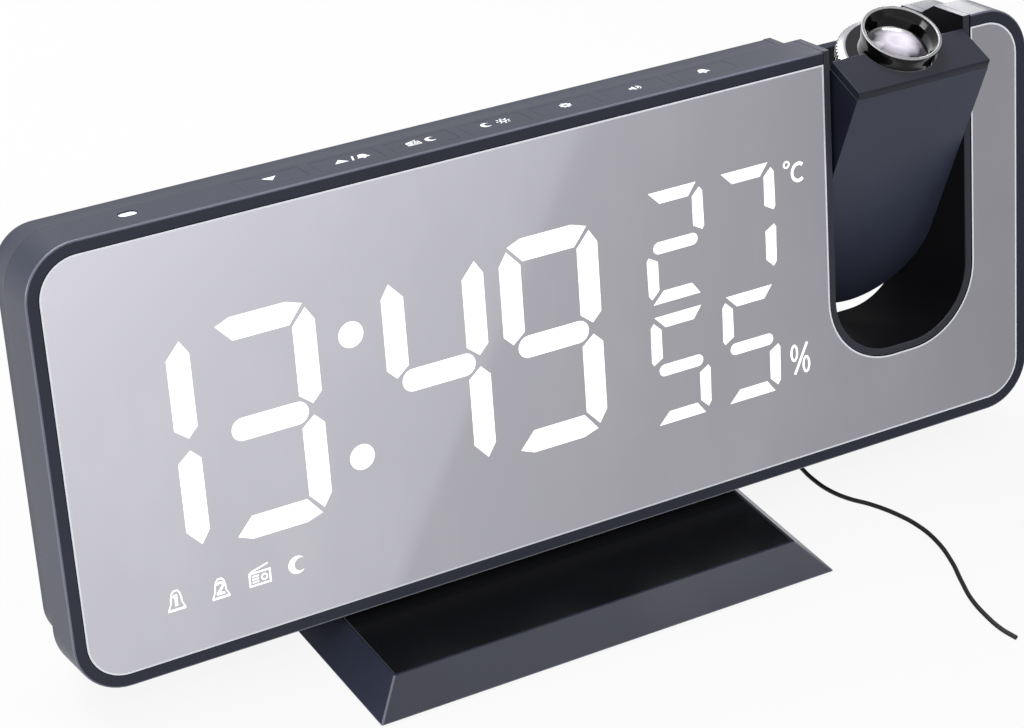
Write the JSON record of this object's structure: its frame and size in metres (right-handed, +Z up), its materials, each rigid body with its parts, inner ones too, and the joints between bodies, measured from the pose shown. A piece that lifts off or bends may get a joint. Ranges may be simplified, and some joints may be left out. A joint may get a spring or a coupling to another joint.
{
  "type": "projection alarm clock",
  "caption": "Leaning mirror-faced digital alarm clock on a flat stand, with a tilting projector arm in a U-shaped slot and flush top keys.",
  "frame": {"origin": "underside of the stand's pad, below the middle of the body's width and the middle of the stand's depth", "axes": "+X to the right seen from the front, +Y to the back, +Z up; the mirror faces -Y"},
  "size_m": [0.186, 0.0871, 0.0828],
  "materials": {
    "case_front": "fine satin, dark blue-grey",
    "case_rear": "fine satin, dark blue-grey",
    "case_stand": "fine satin, dark blue-grey",
    "mirror": "half-silvered",
    "black_gloss": "glossy black",
    "black_matt": "matt black",
    "diffuser": "milky white, lit from behind",
    "lamp": "yellow phosphor",
    "circuit_board": "green solder mask",
    "chip": "moulded black",
    "sensor_blue": "moulded blue",
    "steel": "bright zinc",
    "plated_steel": "nickel plated",
    "speaker_steel": "satin",
    "cone_paper": "coated paper",
    "brass": "satin",
    "rubber": "matt black",
    "cable": "satin black sheath",
    "key_cap": "fine satin, dark blue-grey",
    "rear_key_cap": "fine satin",
    "washer": "natural nylon",
    "lead_red": "satin sheath",
    "clear": "polished clear acrylic",
    "lcd_glass": "dark glass",
    "ring_metal": "bright, knurled edge"
  },
  "bodies": {
    "case": {"front_housing": "case_front", "mirror_panel": "mirror", "slot_liner": "black_gloss", "rear_cover": "case_rear", "case_screws": "steel", "display_block": "black_matt", "display_segments": "diffuser", "status_icons": "diffuser", "display_leds": "lamp", "main_board": "circuit_board", "main_chips": "chip", "board_screws": "steel", "key_board": "circuit_board", "key_switches": "chip", "rear_switches": "chip", "light_sensor": "chip", "sensor_window": "clear", "climate_sensor": "sensor_blue", "power_socket": "chip", "usb_socket": "plated_steel", "speaker_frame": "speaker_steel", "speaker_cone": "cone_paper", "speaker_magnet": "speaker_steel", "coin_cell": "plated_steel", "cell_contacts": "brass", "aerial_grommet": "rubber", "aerial_lead": "cable", "pivot_pin_left": "steel", "pivot_pin_right": "steel", "friction_washers": "washer", "stand_base": "case_stand", "stand_inlay": "black_gloss", "stand_pad": "rubber", "stand_screw": "steel"},
    "arm": {"projector_leads": "lead_red", "arm_front_shell": "black_gloss", "arm_rear_shell": "case_rear", "arm_top_plate": "black_gloss", "arm_screws": "steel", "pivot_bushes": "brass", "projector_tube": "black_matt", "condenser_lens": "clear", "projector_lcd": "lcd_glass", "projector_board": "circuit_board", "projector_led": "lamp"},
    "focus": {"focus_ring": "ring_metal"},
    "barrel": {"lens_barrel": "black_gloss", "front_lens": "clear"},
    "door": {"battery_door": "case_rear"},
    "key_down": {"key_down": "key_cap"},
    "key_up": {"key_up": "key_cap"},
    "key_radio": {"key_radio": "key_cap"},
    "key_snooze": {"key_snooze": "key_cap"},
    "key_set": {"key_set": "key_cap"},
    "key_volume": {"key_volume": "key_cap"},
    "key_alarm": {"key_alarm": "key_cap"},
    "projector_key": {"projector_key": "rear_key_cap"},
    "flip_key": {"flip_key": "rear_key_cap"}
  },
  "joints": [
    {"name": "arm_tilt", "type": "hinge", "parent": "case", "child": "arm", "pos_m": [0.0656, 0.01642, 0.05964], "axis": [1, 0, 0], "range_deg": [-116, 63]},
    {"name": "focus_turn", "type": "hinge", "parent": "arm", "child": "focus", "pos_m": [0.0656, 0.01163, 0.07523], "axis": [0, -0.294, 0.9558], "range_deg": [-34.5, 34.5]},
    {"name": "focus_slide", "type": "slide", "parent": "arm", "child": "barrel", "axis": [0, -0.294, 0.9558], "range_m": [-0.0008, 0.0008]},
    {"name": "battery_door_turn", "type": "hinge", "parent": "case", "child": "door", "pos_m": [0.025, 0.02439, 0.04298], "axis": [0, 0.9874, -0.1582], "range_deg": [0, 60]},
    {"name": "key_down_press", "type": "slide", "parent": "case", "child": "key_down", "axis": [0, -0.1582, -0.9874], "range_m": [0, 0.0005], "stiffness_N_per_m": 400, "springref_m": -0.001},
    {"name": "key_up_press", "type": "slide", "parent": "case", "child": "key_up", "axis": [0, -0.1582, -0.9874], "range_m": [0, 0.0005], "stiffness_N_per_m": 400, "springref_m": -0.001},
    {"name": "key_radio_press", "type": "slide", "parent": "case", "child": "key_radio", "axis": [0, -0.1582, -0.9874], "range_m": [0, 0.0005], "stiffness_N_per_m": 400, "springref_m": -0.001},
    {"name": "key_snooze_press", "type": "slide", "parent": "case", "child": "key_snooze", "axis": [0, -0.1582, -0.9874], "range_m": [0, 0.0005], "stiffness_N_per_m": 400, "springref_m": -0.001},
    {"name": "key_set_press", "type": "slide", "parent": "case", "child": "key_set", "axis": [0, -0.1582, -0.9874], "range_m": [0, 0.0005], "stiffness_N_per_m": 400, "springref_m": -0.001},
    {"name": "key_volume_press", "type": "slide", "parent": "case", "child": "key_volume", "axis": [0, -0.1582, -0.9874], "range_m": [0, 0.0005], "stiffness_N_per_m": 400, "springref_m": -0.001},
    {"name": "key_alarm_press", "type": "slide", "parent": "case", "child": "key_alarm", "axis": [0, -0.1582, -0.9874], "range_m": [0, 0.0005], "stiffness_N_per_m": 400, "springref_m": -0.001},
    {"name": "projector_key_press", "type": "slide", "parent": "case", "child": "projector_key", "axis": [0, -0.9874, 0.1582], "range_m": [0, 0.0005], "stiffness_N_per_m": 400, "springref_m": -0.001},
    {"name": "flip_key_press", "type": "slide", "parent": "case", "child": "flip_key", "axis": [0, -0.9874, 0.1582], "range_m": [0, 0.0005], "stiffness_N_per_m": 400, "springref_m": -0.001}
  ],
  "couplings": [
    {"joint": "focus_turn", "follows": "focus_slide", "rad_per_m": 750}
  ]
}
